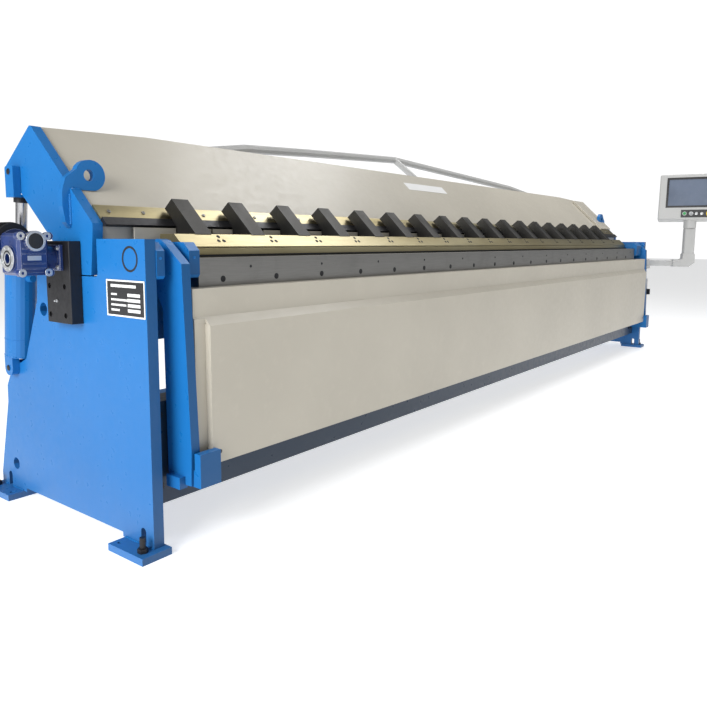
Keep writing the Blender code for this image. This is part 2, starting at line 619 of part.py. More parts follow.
def switch_box():
    """Electrical box on the right side plate, with the arm bracket for the pendant above it."""
    body = box("switch_box", (LENGTH + GAP, SWITCH_FACE, 0.255), (LENGTH + 0.145, 0.300, 0.585),
               GREY, 0.004)
    x, y, z = ARM_PIVOT
    bracket = box("arm_bracket", (LENGTH + GAP, y - 0.035, z - 0.050),
                  (x + 0.030, y + 0.035, z - 0.0285), GREY)
    post = box("bracket_post", (LENGTH + GAP, y - 0.030, 0.575),
               (LENGTH + 0.020, y + 0.030, z - 0.030), GREY)
    return join(body, bracket, post)


def switch_knob():
    x, z = LENGTH + 0.095, 0.475
    disc = rod("main_switch", (x, SWITCH_FACE - GAP, z), (x, SWITCH_FACE - 0.014, z), 0.026, BLACK)
    grip = box("switch_grip", (x - 0.007, SWITCH_FACE - 0.034, z - 0.024),
               (x + 0.007, SWITCH_FACE - 0.010, z + 0.024), BLACK, 0.002)
    return join(disc, grip), (x, SWITCH_FACE, z)


def arm_end():
    x, y, z = ARM_PIVOT
    return Vector((x + ARM_REACH * math.cos(ARM_HEADING), y + ARM_REACH * math.sin(ARM_HEADING), z))


def pendant_arm():
    """Square tube that swings on the bracket, its cast elbow and the upright under the pendant."""
    reach = ARM_REACH
    arm = box("pendant_arm", (-0.030, -0.025, -0.025), (reach - 0.05, 0.025, 0.025), GREY, 0.003)
    hub = rod("arm_hub", (0, 0, -0.028), (0, 0, 0.030), 0.036, GREY)
    outline = [(reach - 0.120, -0.030), (reach + 0.005, -0.030), (reach + 0.048, 0.005),
               (reach + 0.048, 0.075), (reach + 0.040, 0.083), (reach - 0.040, 0.083),
               (reach - 0.048, 0.075), (reach - 0.048, 0.040), (reach - 0.065, 0.030),
               (reach - 0.120, 0.030)]
    elbow = plate("arm_elbow", [outline], -0.043, 0.043, GREY, "XZ")
    upright = box("arm_upright", (reach - 0.041, -0.038, 0.07), (reach + 0.041, 0.038, ARM_RISE),
                  GREY, 0.006)
    place = Matrix.Translation(Vector(ARM_PIVOT)) @ Matrix.Rotation(ARM_HEADING, 4, "Z")
    for piece in (arm, hub, elbow, upright):
        piece.data.transform(place)
    return join(arm, hub, elbow, upright)


def pendant_frame():
    """Matrix of the pendant: +X to the viewer's right, +Y up the screen, +Z out of the screen."""
    base = arm_end() + Vector((0, 0, ARM_RISE + 0.0005))
    normal = Vector((math.cos(PENDANT_FACE), math.sin(PENDANT_FACE), 0))
    right = Vector((-normal.y, normal.x, 0))
    turn = Matrix.Rotation(PENDANT_TILT, 3, -right)
    normal = turn @ normal
    up = turn @ Vector((0, 0, 1))
    middle = base + Vector((0, 0, 0.062)) + up * (PENDANT_H / 2)
    columns = Matrix((right, up, normal)).transposed().to_4x4()
    return Matrix.Translation(middle) @ columns


def pendant_block(name, low, high, look, bevel=0.0):
    """A block in the pendant's own frame."""
    made = box(name, low, high, look, bevel)
    made.data.transform(pendant_frame())
    return made


def pendant():
    """Control box with a sunk screen and a strip of buttons, on its collar."""
    w, h, d = PENDANT_W / 2, PENDANT_H / 2, PENDANT_D / 2
    body = pendant_block("pendant", (-w, -h, -d), (w, h, d), GREY, 0.008)
    screen = pendant_block("screen_recess", (-w + 0.055, -h + 0.103, d - 0.006),
                           (w - 0.055, h - 0.028, d + 0.02), GREY)
    strip = pendant_block("strip_recess", (-w + 0.155, -h + 0.024, d - 0.002),
                          (w - 0.045, -h + 0.078, d + 0.02), GREY)
    base = arm_end() + Vector((0, 0, ARM_RISE + 0.0005))
    collar = rod("pendant_collar", base, base + Vector((0, 0, 0.090)), 0.049, GREY)
    holes = []
    for i, (x, radius) in enumerate(BUTTONS):
        at = pendant_frame() @ Vector((x, -h + 0.051, 0))
        out = pendant_frame().to_3x3() @ Vector((0, 0, 1))
        holes.append(rod(f"button_hole_{i}", at + out * (d - 0.030), at + out * (d + 0.03),
                         radius + 0.001, GREY, segments=16))
    join(body, collar)
    return cut(body, screen, strip, *holes)


BUTTONS = ((-0.045, 0.010), (0.005, 0.010), (0.150, 0.013))   # across, radius


def button(name, index, look, head_radius, height):
    """A push button: its stem in the pendant's bore and its head in front."""
    x, radius = BUTTONS[index]
    frame = pendant_frame()
    out = frame.to_3x3() @ Vector((0, 0, 1))
    face = frame @ Vector((x, -PENDANT_H / 2 + 0.051, PENDANT_D / 2 - 0.002))
    stem = rod(name, face - out * 0.018, face + out * (height - 0.002), radius, look,
               segments=16)
    head = rod(f"{name}_head", face + out * 0.0075, face + out * height, head_radius, look,
               segments=16)
    return join(stem, head), face


def build():
    plate_left = side_plate()
    side_plates = [plate_left, mirrored(plate_left, "side_plate_right")]
    bolts = []
    for end, (x, y) in zip(("front", "rear"), LEVEL_HOLES):
        bolts.append(levelling_bolt(f"levelling_bolt_{end}_left", (x, y)))
        bolts.append(mirrored(bolts[-1], f"levelling_bolt_{end}_right"))
    pivot_blocks()
    table()
    crossmembers()
    mirrored(clamp_bearing(), "clamp_bearing_right")
    geared_motor()
    hydraulic_unit()
    switch_box()

    plate_left = end_plate()
    eye_left = lifting_eye()
    plates = [plate_left, mirrored(plate_left, "end_plate_right")]
    plates += [eye_left, mirrored(eye_left, "lifting_eye_right")]
    beam = plates + [beam_box(), *rails(), clamp_blade(), truss()]
    beam += [finger(number) for number in range(1, FINGERS + 1)]
    clamp_axis = pivot("clamp_axis", (LENGTH / 2, CLAMP_Y, CLAMP_Z), beam)

    arm = fold_arm()
    pivot("fold_axis", (LENGTH / 2, FOLD_Y, FOLD_Z),
          [arm, mirrored(arm, "fold_arm_right"), apron(), apron_blade()])

    barrel_left, rod_left = barrel(), piston_rod()
    barrels = {"left": barrel_left, "right": mirrored(barrel_left, "cylinder_barrel_right")}
    rods = {"left": rod_left, "right": mirrored(rod_left, "cylinder_rod_right")}
    for end, x in (("left", CYL_X), ("right", LENGTH - CYL_X)):
        pivot(f"cylinder_axis_{end}", (x, *CYL_BASE), [barrels[end]])
        pivot(f"rod_axis_{end}", (x, *CYL_TOP), [rods[end]], clamp_axis)

    knob, knob_place = switch_knob()
    pivot("knob_axis", knob_place, [knob])
    arm_axis = pivot("arm_axis", ARM_PIVOT, [pendant_arm()])
    pendant_axis = pivot("pendant_axis", arm_end(), [pendant()], arm_axis)
    for name, index, look, head, height in (("start_button", 0, GREEN, 0.012, 0.012),
                                            ("stop_button", 1, GREY, 0.012, 0.012),
                                            ("emergency_stop", 2, RED, 0.020, 0.026)):
        piece, place = button(name, index, look, head, height)
        pivot(f"{name}_axis", place, [piece], pendant_axis)


build()
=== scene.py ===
"""Render scene of the swing-beam folding machine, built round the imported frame. Metres, Z up."""

import json
import math

import bmesh
import bpy
from mathutils import Matrix, Vector


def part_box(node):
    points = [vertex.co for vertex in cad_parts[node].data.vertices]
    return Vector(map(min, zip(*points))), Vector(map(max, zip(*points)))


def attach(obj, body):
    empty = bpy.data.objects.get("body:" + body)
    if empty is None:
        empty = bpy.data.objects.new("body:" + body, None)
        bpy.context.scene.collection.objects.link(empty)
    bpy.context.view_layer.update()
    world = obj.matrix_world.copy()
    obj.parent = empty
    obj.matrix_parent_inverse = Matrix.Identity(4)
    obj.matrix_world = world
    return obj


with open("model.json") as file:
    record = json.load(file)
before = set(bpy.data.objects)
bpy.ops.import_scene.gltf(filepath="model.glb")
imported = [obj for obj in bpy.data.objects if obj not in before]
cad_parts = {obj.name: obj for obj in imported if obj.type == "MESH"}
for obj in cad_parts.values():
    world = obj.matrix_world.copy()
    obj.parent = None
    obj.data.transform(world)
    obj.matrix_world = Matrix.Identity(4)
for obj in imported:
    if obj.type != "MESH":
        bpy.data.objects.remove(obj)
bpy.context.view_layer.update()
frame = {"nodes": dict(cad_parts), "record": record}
NODES = frame["nodes"]
JOINTS = {joint["name"]: joint for joint in frame["record"]["behaviour"]["joints"]}
SCENE = bpy.context.scene
PIECES = bpy.data.collections.new("details")
SCENE.collection.children.link(PIECES)

X, Y, Z = Vector((1, 0, 0)), Vector((0, 1, 0)), Vector((0, 0, 1))
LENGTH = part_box("side_plate_left")[0].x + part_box("side_plate_right")[1].x


# ---- materials -----------------------------------------------------------------------------------

class Look:
    """A Principled material and the few node shapes that all of them share."""

    def __init__(self, name, colour, roughness, metallic=0.0, **sockets):
        self.material = bpy.data.materials.new(name)
        self.material.use_nodes = True
        self.tree = self.material.node_tree
        self.shader = self.tree.nodes["Principled BSDF"]
        self.shader.inputs["Base Color"].default_value = (*colour, 1.0)
        self.shader.inputs["Roughness"].default_value = roughness
        self.shader.inputs["Metallic"].default_value = metallic
        self.material.diffuse_color = (*colour, 1.0)
        for socket, value in sockets.items():
            self.shader.inputs[socket.replace("_", " ")].default_value = value
        self.place = self.tree.nodes.new("ShaderNodeTexCoord").outputs["Object"]
        self.colour = None
        self.height = None

    def link(self, a, b):
        self.tree.links.new(a, b)

    def noise(self, scale, detail=3.0, stretch=(1, 1, 1), rough=0.5, distortion=0.0):
        mapping = self.tree.nodes.new("ShaderNodeMapping")
        mapping.inputs["Scale"].default_value = stretch
        self.link(self.place, mapping.inputs["Vector"])
        node = self.tree.nodes.new("ShaderNodeTexNoise")
        node.inputs["Scale"].default_value = scale
        node.inputs["Detail"].default_value = detail
        node.inputs["Roughness"].default_value = rough
        node.inputs["Distortion"].default_value = distortion
        self.link(mapping.outputs["Vector"], node.inputs["Vector"])
        return node.outputs["Fac"]

    def remap(self, value, low, high, to_low, to_high):
        node = self.tree.nodes.new("ShaderNodeMapRange")
        for socket, number in zip(("From Min", "From Max", "To Min", "To Max"),
                                  (low, high, to_low, to_high)):
            node.inputs[socket].default_value = number
        self.link(value, node.inputs["Value"])
        return node.outputs["Result"]

    def tint(self, factor, colour):
        """Mixes colour over what is there, by factor."""
        mix = self.tree.nodes.new("ShaderNodeMix")
        mix.data_type = "RGBA"
        if self.colour is None:
            mix.inputs["A"].default_value = self.shader.inputs["Base Color"].default_value
        else:
            self.link(self.colour, mix.inputs["A"])
        mix.inputs["B"].default_value = (*colour, 1.0)
        self.link(factor, mix.inputs["Factor"])
        self.colour = mix.outputs["Result"]
        self.link(self.colour, self.shader.inputs["Base Color"])

    def rough(self, value):
        self.link(value, self.shader.inputs["Roughness"])

    def metal(self, value):
        self.link(value, self.shader.inputs["Metallic"])

    def bump(self, value, strength, distance=0.001):
        node = self.tree.nodes.new("ShaderNodeBump")
        node.inputs["Strength"].default_value = strength
        node.inputs["Distance"].default_value = distance
        self.link(value, node.inputs["Height"])
        if self.height is not None:
            self.link(self.height, node.inputs["Normal"])
        self.height = node.outputs["Normal"]
        self.link(self.height, self.shader.inputs["Normal"])

    def edges(self, radius, low=0.02, high=0.2):
        """1 along convex and concave edges, 0 on flat faces."""
        bevel = self.tree.nodes.new("ShaderNodeBevel")
        bevel.samples = 4
        bevel.inputs["Radius"].default_value = radius
        geometry = self.tree.nodes.new("ShaderNodeNewGeometry")
        dot = self.tree.nodes.new("ShaderNodeVectorMath")
        dot.operation = "DOT_PRODUCT"
        self.link(bevel.outputs["Normal"], dot.inputs[0])
        self.link(geometry.outputs["Normal"], dot.inputs[1])
        return self.remap(dot.outputs["Value"], 1.0 - low, 1.0 - high, 0.0, 1.0)

    def times(self, a, b):
        node = self.tree.nodes.new("ShaderNodeMath")
        node.operation = "MULTIPLY"
        self.link(a, node.inputs[0])
        self.link(b, node.inputs[1])
        return node.outputs["Value"]

    def height_above_floor(self, low, high):
        """1 at the floor, falling to 0."""
        split = self.tree.nodes.new("ShaderNodeSeparateXYZ")
        self.link(self.place, split.inputs["Vector"])
        return self.remap(split.outputs["Z"], low, high, 1.0, 0.0)


def scaled(colour, factor):
    return tuple(min(1.0, c * factor) for c in colour)


def paint(name, colour, roughness=0.32, wear=0.35, dust=True):
    """Sprayed enamel: orange peel, slow colour drift, rubbed edges and dust near the floor."""
    look = Look(name, colour, roughness, Coat_Weight=0.08, Coat_Roughness=0.12,
                Specular_IOR_Level=0.28)
    look.tint(look.remap(look.noise(2.3, 4), 0.35, 0.7, 0.0, 0.55), scaled(colour, 0.86))
    look.tint(look.remap(look.noise(19, 5, rough=0.7), 0.52, 0.75, 0.0, 0.25),
              scaled(colour, 1.12))
    if dust:
        haze = look.times(look.height_above_floor(0.02, 0.24), look.noise(9, 6, rough=0.75))
        look.tint(look.remap(haze, 0.0, 1.0, 0.0, 0.14), (0.36, 0.36, 0.35))
    rub = look.times(look.edges(0.0035), look.remap(look.noise(85, 4), 0.42, 0.62, 0.0, 1.0))
    look.tint(look.remap(rub, 0.0, 1.0, 0.0, wear), scaled(colour, 1.7))
    look.rough(look.remap(look.noise(34, 3), 0.3, 0.7, roughness - 0.06, roughness + 0.1))
    look.bump(look.noise(420, 2), 0.05, 0.0006)
    look.bump(look.noise(7, 2), 0.06, 0.004)
    return look.material


def steel(name, colour, roughness=0.32, along="X", stain=0.4, film=None, scratch=0.12):
    """Ground metal: fine lines along one axis, faint stains and brighter rubbed edges."""
    stretch = {"X": (0.02, 1, 1), "Z": (1, 1, 0.03), "Y": (1, 0.03, 1)}[along]
    look = Look(name, colour, roughness, 1.0, Anisotropic=0.35)
    lines = look.noise(520, 5, stretch, 0.7)
    look.tint(look.remap(lines, 0.3, 0.7, 0.0, 0.5), scaled(colour, 0.72))
    look.tint(look.remap(look.noise(6, 5, rough=0.65, distortion=0.6), 0.5, 0.8, 0.0, stain),
              scaled(colour, 0.55))
    if film:
        look.tint(look.remap(look.noise(3.1, 4, (0.35, 1, 1)), 0.35, 0.65, 0.0, 0.6), film)
    look.tint(look.edges(0.002), scaled(colour, 1.35))
    look.rough(look.remap(lines, 0.25, 0.75, roughness - 0.09, roughness + 0.14))
    look.bump(lines, scratch, 0.0004)
    return look.material


def cast(name, colour, roughness=0.4, metallic=0.9, grain=260):
    """Cast or bead-blasted metal."""
    look = Look(name, colour, roughness, metallic)
    look.tint(look.remap(look.noise(14, 5), 0.4, 0.7, 0.0, 0.4), scaled(colour, 0.7))
    look.tint(look.edges(0.002), scaled(colour, 1.4))
    look.rough(look.remap(look.noise(60, 4), 0.3, 0.7, roughness - 0.08, roughness + 0.12))
    look.bump(look.noise(grain, 4, rough=0.7), 0.25, 0.0006)
    return look.material


def plastic(name, colour, roughness=0.35, grain=600, metallic=0.0):
    """Moulded plastic or powder coat: fine grain, soft sheen changes and pale edges."""
    look = Look(name, colour, roughness, metallic)
    look.tint(look.remap(look.noise(5, 4), 0.35, 0.7, 0.0, 0.4), scaled(colour, 0.86))
    look.tint(look.remap(look.edges(0.0018), 0.0, 1.0, 0.0, 0.35), scaled(colour, 1.35))
    look.rough(look.remap(look.noise(40, 3), 0.3, 0.7, roughness - 0.05, roughness + 0.1))
    look.bump(look.noise(grain, 3), 0.18, 0.0005)
    return look.material


def gearbox_enamel():
    """Navy enamel with machined aluminium showing on every edge."""
    look = Look("gearbox_enamel", (0.012, 0.035, 0.16), 0.34, Coat_Weight=0.3, Coat_Roughness=0.15)
    look.tint(look.remap(look.noise(22, 4), 0.4, 0.7, 0.0, 0.6), (0.006, 0.018, 0.085))
    rub = look.edges(0.0028, 0.05, 0.28)
    look.tint(rub, (0.62, 0.64, 0.67))
    look.metal(look.remap(rub, 0.0, 1.0, 0.0, 0.85))
    look.rough(look.remap(look.noise(50, 3), 0.3, 0.7, 0.26, 0.44))
    look.bump(look.noise(330, 4), 0.3, 0.0006)
    return look.material


def screen_glass():
    look = Look("screen_glass", (0.13, 0.16, 0.22), 0.12, Coat_Weight=1.0, Coat_Roughness=0.03)
    look.tint(look.remap(look.noise(4, 3), 0.3, 0.7, 0.0, 0.7), (0.18, 0.22, 0.30))
    look.tint(look.remap(look.noise(45, 5, rough=0.8), 0.55, 0.8, 0.0, 0.25), (0.30, 0.33, 0.38))
    look.rough(look.remap(look.noise(30, 4), 0.3, 0.7, 0.08, 0.22))
    return look.material


BLUE_COLOUR = (0.012, 0.160, 0.460)
CREAM_COLOUR = (0.52, 0.485, 0.41)
LOOKS = {
    "blue_paint": paint("blue_enamel", BLUE_COLOUR),
    # The blue at 0.55 of its brightness: painted shade for the front faces of the side plates, fold
    # arms and pivot blocks.
    "blue_painted_shade": paint("blue_enamel_painted_shade", scaled(BLUE_COLOUR, 0.55), 0.38),
    "navy_paint": paint("navy_enamel", (0.012, 0.030, 0.062)),
    "gearbox": gearbox_enamel(),
    "cream_paint": paint("cream_enamel", CREAM_COLOUR, 0.36, 0.15),
    "grey_paint": plastic("grey_powder_coat", (0.50, 0.50, 0.49), 0.42),
    "black_oxide": cast("black_oxide", (0.028, 0.028, 0.031), 0.42, 0.55),
    "finger_steel": steel("finger_steel", (0.070, 0.068, 0.065), 0.5, "Z", 0.5),
    "finger_side": steel("finger_side", (0.055, 0.054, 0.052), 0.42, "Z", 0.4),
    "ground_steel": steel("blade_steel", (0.28, 0.276, 0.265), 0.34, "X", 0.45),
    "gilt_steel": steel("gilt_steel", (0.36, 0.30, 0.155), 0.34, "X", 0.5, (0.46, 0.42, 0.28)),
    "cast_aluminium": cast("cast_aluminium", (0.60, 0.61, 0.62)),
    "chrome": steel("hard_chrome", (0.72, 0.72, 0.74), 0.14, "Z", 0.1, scratch=0.03),
    "black_plastic": plastic("black_plastic", (0.018, 0.018, 0.02), 0.3),
    "grey_plastic": plastic("grey_plastic", (0.36, 0.37, 0.38)),
    "green_plastic": plastic("green_plastic", (0.02, 0.34, 0.08), 0.25),
    "red_plastic": plastic("red_plastic", (0.62, 0.012, 0.012), 0.28),
    "yellow_plastic": plastic("yellow_plastic", (0.80, 0.55, 0.02), 0.35),
    "white_print": plastic("white_print", (0.80, 0.80, 0.79), 0.5, 300),
    # Dark rubber for the seals and the wiper. The same dark also serves as painted shade in the
    # fold pin grooves and the counterbores.
    "rubber": plastic("dark_rubber_and_painted_shade", (0.012, 0.013, 0.016), 0.6, 350),
    "screen": screen_glass(),
    "weld": paint("weld_enamel", BLUE_COLOUR, 0.30, 0.2, dust=False),
}


# ---- geometry helpers ----------------------------------------------------------------------------

def turn_to(at, out, spin=0.0):
    """Matrix that takes the local Z to the direction out."""
    matrix = Vector(out).to_track_quat("Z", "Y").to_matrix().to_4x4()
    return Matrix.Translation(Vector(at)) @ matrix @ Matrix.Rotation(spin, 4, "Z")


def add_turned(bm, at, out, profile, segments=24, spin=0.0, closed=False):
    """A turned shape. A profile row is (radius, height), or (radius, height, sides) if faceted."""
    place = turn_to(at, out, spin)
    rings = []
    for row in profile:
        radius, height = row[:2]
        sides = row[2] if len(row) > 2 else 0
        ring = []
        for i in range(segments):
            angle = 2 * math.pi * i / segments
            reach = radius
            if sides:
                wedge = 2 * math.pi / sides
                reach = radius * math.cos(wedge / 2) / math.cos(angle % wedge - wedge / 2)
            point = Vector((reach * math.cos(angle), reach * math.sin(angle), height))
            ring.append(bm.verts.new(place @ point))
        rings.append(ring)
    pairs = list(zip(rings, rings[1:]))
    if closed:
        pairs.append((rings[-1], rings[0]))
    else:
        bm.faces.new(reversed(rings[0]))
        bm.faces.new(rings[-1])
    for a, b in pairs:
        for i in range(segments):
            j = (i + 1) % segments
            bm.faces.new((a[i], a[j], b[j], b[i]))


def add_screw(bm, at, out, radius=0.008, height=0.006, spin=0.3):
    """Socket head cap screw."""
    add_turned(bm, at, out, [(radius, -0.0004), (radius, height * 0.86), (radius * 0.9, height),
                             (radius * 0.56, height, 6), (radius * 0.54, height * 0.3, 6)],
               24, spin)


def add_hex(bm, at, out, radius=0.009, height=0.006, spin=0.2):
    """Hexagon head bolt on its washer."""
    add_turned(bm, at, out, [(radius * 1.35, -0.0004), (radius * 1.35, 0.0016),
                             (radius, 0.0017, 6), (radius, height * 0.85, 6),
                             (radius * 0.84, height)], 24, spin)


def add_ring(bm, at, out, inner, outer, height, segments=32):
    edge = min(height, outer - inner) * 0.2
    add_turned(bm, at, out, [(inner, 0.0), (outer, 0.0), (outer, height - edge),
                             (outer - edge, height), (inner + edge, height),
                             (inner, height - edge)], segments, closed=True)


def add_block(bm, low, high, place=None):
    size = [b - a for a, b in zip(low, high)]
    centre = Vector([(a + b) / 2 for a, b in zip(low, high)])
    matrix = Matrix.Translation(centre) @ Matrix.Diagonal((*size, 1.0))
    bmesh.ops.create_cube(bm, size=1.0, matrix=place @ matrix if place else matrix)


def add_bead(bm, path, radius=0.003):
    """Weld bead along a path: a lumpy tube with round ends."""
    points = [Vector(p) for p in path]
    samples = []
    for a, b in zip(points, points[1:]):
        steps = max(2, int((b - a).length / (radius * 0.7)))
        samples += [(a.lerp(b, i / steps), (b - a).normalized()) for i in range(steps)]
    samples.append((points[-1], (points[-1] - points[-2]).normalized()))
    rings = []
    for i, (point, ahead) in enumerate(samples):
        swell = 1.0 + 0.16 * math.sin(i * 2.1) + 0.07 * math.sin(i * 0.73 + 1.0)
        if i in (0, len(samples) - 1):
            swell = 0.35
        side = ahead.orthogonal().normalized()
        other = ahead.cross(side)
        ring = []
        for k in range(8):
            angle = math.pi * k / 4
            offset = side * math.cos(angle) + other * math.sin(angle)
            ring.append(bm.verts.new(point + offset * radius * swell))
        rings.append(ring)
    bm.faces.new(reversed(rings[0]))
    bm.faces.new(rings[-1])
    for a, b in zip(rings, rings[1:]):
        for k in range(8):
            bm.faces.new((a[k], a[(k + 1) % 8], b[(k + 1) % 8], b[k]))


def add_prism(bm, outline, low, high):
    """An outline of (y, z) points, extruded along X."""
    rows = [[bm.verts.new((x, y, z)) for y, z in outline] for x in (low, high)]
    bm.faces.new(rows[0])
    bm.faces.new(reversed(rows[1]))
    for i in range(len(outline)):
        j = (i + 1) % len(outline)
        bm.faces.new((rows[0][j], rows[0][i], rows[1][i], rows[1][j]))


def mirror(bm):
    """Adds the same shape at the machine's other end."""
    copy = bmesh.ops.duplicate(bm, geom=bm.verts[:] + bm.edges[:] + bm.faces[:])["geom"]
    verts = [g for g in copy if isinstance(g, bmesh.types.BMVert)]
    flip = Matrix.Translation((LENGTH, 0, 0)) @ Matrix.Diagonal((-1, 1, 1, 1))
    bmesh.ops.transform(bm, matrix=flip, verts=verts)


def smooth(obj, angle=32):
    obj.data.shade_smooth()
    obj.data.set_sharp_from_angle(angle=math.radians(angle))


def bevel(obj, width, segments=2):
    made = obj.modifiers.new("edge", "BEVEL")
    made.width = width
    made.segments = segments
    made.limit_method = "ANGLE"
    made.angle_limit = math.radians(34)
    made.use_clamp_overlap = False
    made.harden_normals = False
    normals = obj.modifiers.new("normals", "WEIGHTED_NORMAL")
    normals.keep_sharp = False


def piece(name, bm, look, body, edge=0.0):
    """Turns a bmesh into a named piece that rides on a body."""
    bmesh.ops.recalc_face_normals(bm, faces=bm.faces)
    mesh = bpy.data.meshes.new(name)
    bm.to_mesh(mesh)
    bm.free()
    obj = bpy.data.objects.new(name, mesh)
    PIECES.objects.link(obj)
    mesh.materials.append(LOOKS[look])
    smooth(obj)
    if edge:
        bevel(obj, edge)
    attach(obj, body)
    return obj


# ---- finishes on the frame's own nodes, with painted shade on the front faces of the blue plates ---

SLOTS = {row["node"]: row["material_slot"] for row in frame["record"]["subparts"]}
FINISH = {"geared_motor": "gearbox", "cylinder_rod_left": "chrome", "cylinder_rod_right": "chrome"}
EDGE = {"pendant": 0.003, "switch_box": 0.002, "apron_box": 0.003, "beam_box": 0.0025,
        "geared_motor": 0.0, "truss_rod": 0.0, "hydraulic_unit": 0.002, "pendant_arm": 0.002}
for node, obj in NODES.items():
    look = LOOKS[FINISH.get(node, SLOTS[node])]
    obj.data.materials.clear()
    obj.data.materials.append(look)
    smooth(obj)
    if node.startswith("finger_"):
        obj.data.materials.append(LOOKS["finger_side"])
        for face in obj.data.polygons:
            face.material_index = int(abs(face.normal.x) > 0.9)
    # Faces that look to the front take the darker blue: painted shade for the light that falls
    # mainly from the left.
    if node.startswith(("side_plate", "fold_arm", "pivot_block")):
        obj.data.materials.append(LOOKS["blue_painted_shade"])
        for face in obj.data.polygons:
            face.material_index = int(face.normal.y < -0.9)
    width = EDGE.get(node, 0.0006 if node.startswith(("finger", "clamp_blade", "table_blade",
                                                      "gilt", "black_rail")) else 0.0012)
    if width:
        bevel(obj, width)


# ---- left and right side frames ------------------------------------------------------------------

def name_plate():
    """Black plate with a white border and blank bars."""
    y0, y1, z0, z1 = 0.004, 0.184, 0.682, 0.786
    bm = bmesh.new()
    add_block(bm, (-0.0014, y0, z0), (-0.0001, y1, z1))
    piece("name_plate", bm, "black_plastic", "frame", 0.0004)
    bm = bmesh.new()
    face, proud, rim = -0.0013, -0.0018, 0.0045
    for low, high in (((y0, z0), (y1, z0 + rim)), ((y0, z1 - rim), (y1, z1)),
                      ((y0, z0 + rim), (y0 + rim, z1 - rim)),
                      ((y1 - rim, z0 + rim), (y1, z1 - rim))):
        add_block(bm, (proud, *low), (face, *high))
    width = y1 - y0
    for across, length, height, tall in ((0.12, 0.66, 0.80, 0.075), (0.12, 0.16, 0.58, 0.05),
                                         (0.12, 0.44, 0.43, 0.055), (0.12, 0.40, 0.29, 0.055),
                                         (0.12, 0.22, 0.15, 0.055), (0.56, 0.32, 0.56, 0.085),
                                         (0.56, 0.32, 0.42, 0.085), (0.56, 0.32, 0.28, 0.085),
                                         (0.56, 0.32, 0.14, 0.085)):
        # The left plate is read from outside, so across runs from the rear edge to the front.
        start = y1 - across * width
        low = z0 + (z1 - z0) * height
        add_block(bm, (proud, start - length * width, low),
                  (face, start, low + (z1 - z0) * tall))
    piece("name_plate_print", bm, "white_print", "frame")


FRAME_WELD_X = 0.037     # just inside the side plate, where the beams are welded to it


def side_details():
    """Painted shade in the grooves round the fold pins; screws, nipples, welds and bolts on the
    frame, and the table's edge strip.
    """
    fold = Vector(JOINTS["fold_swing"]["pos_m"])
    bm = bmesh.new()
    # A thin dark ring round each fold pin ring: painted shade of the groove between the pin ring
    # and the plate.
    add_ring(bm, (0.0002, fold.y, fold.z), -X, 0.0300, 0.0362, 0.0009, 48)
    mirror(bm)
    piece("fold_pin_groove_painted_shade", bm, "rubber", "frame")

    block_low, block_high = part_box("clamp_bearing_left")
    bm = bmesh.new()
    for y in (0.343, 0.428):
        for z in (0.671, 0.758):
            add_screw(bm, (-0.0285, y, z), -X, 0.0070, 0.0060, y * 9)
    mirror(bm)
    piece("bearing_screws", bm, "black_oxide", "frame")
    bm = bmesh.new()
    middle = (block_low.y + block_high.y) / 2 + 0.009
    add_turned(bm, (block_low.x, middle, 0.714), -X,
               [(0.0052, -0.0004, 6), (0.0052, 0.003, 6), (0.003, 0.0034), (0.0024, 0.006),
                (0.0034, 0.0075), (0.0028, 0.0098), (0.001, 0.0105)], 18)
    mirror(bm)
    piece("grease_nipples", bm, "cast_aluminium", "frame")

    bm = bmesh.new()
    for y0, y1 in ((0.068, 0.136), (0.001, 0.030), (0.740, 0.814), (0.848, 0.884)):
        add_bead(bm, [(-0.0012, y0, 0.0226), (-0.0012, y1, 0.0226)], 0.0034)
    mirror(bm)
    piece("foot_welds", bm, "weld", "frame")

    bm = bmesh.new()
    for x in (0.0485, 0.167):
        add_screw(bm, (x, -0.0030, 0.848), -Y, 0.0042, 0.0016, x)
    mirror(bm)
    piece("pivot_block_screws", bm, "weld", "frame")

    bm = bmesh.new()
    nose_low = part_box("table_beam")[0]
    blade_low, blade_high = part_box("table_blade")
    add_block(bm, (blade_low.x - 0.008, nose_low.y - 0.0012, 0.800),
              (blade_high.x + 0.008, nose_low.y + 0.0002, 0.8513))
    add_block(bm, (blade_low.x - 0.008, nose_low.y - 0.0012, 0.8515),
              (blade_high.x + 0.008, blade_low.y - 0.0004, 0.8535))
    piece("table_edge_strip", bm, "finger_side", "frame")

    bm = bmesh.new()
    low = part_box("front_crossmember")[0].y
    for x in (0.075, 0.135):
        for z in (0.175, 0.390):
            add_hex(bm, (x, low, z), -Y, 0.0085, 0.007, x * 4)
    mirror(bm)
    piece("crossmember_bolts", bm, "black_oxide", "frame")

    bm = bmesh.new()
    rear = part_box("rear_crossmember")[1]
    for x in (FRAME_WELD_X, LENGTH - FRAME_WELD_X):
        add_bead(bm, [(x, rear.y + 0.001, 0.124), (x, rear.y + 0.001, 0.266)], 0.0032)
        add_bead(bm, [(x, 0.694, rear.z + 0.001), (x, rear.y - 0.004, rear.z + 0.001)], 0.0032)
    table_low, table_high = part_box("table_beam")
    for x in (FRAME_WELD_X, LENGTH - FRAME_WELD_X):
        add_bead(bm, [(x, 0.145, table_low.z - 0.001), (x, table_high.y - 0.004,
                                                         table_low.z - 0.001)], 0.0032)
        add_bead(bm, [(x, table_high.y + 0.001, table_low.z + 0.004),
                      (x, table_high.y + 0.001, 0.785)], 0.0032)
    piece("frame_welds", bm, "weld", "frame")


# ---- clamping beam -------------------------------------------------------------------------------

SLOPE_FOOT = Vector((0, 0.2455, 0.945))
SLOPE = Vector((0, 0.321, 0.305)).normalized()
SLOPE_OUT = Vector((0, -SLOPE.z, SLOPE.y))


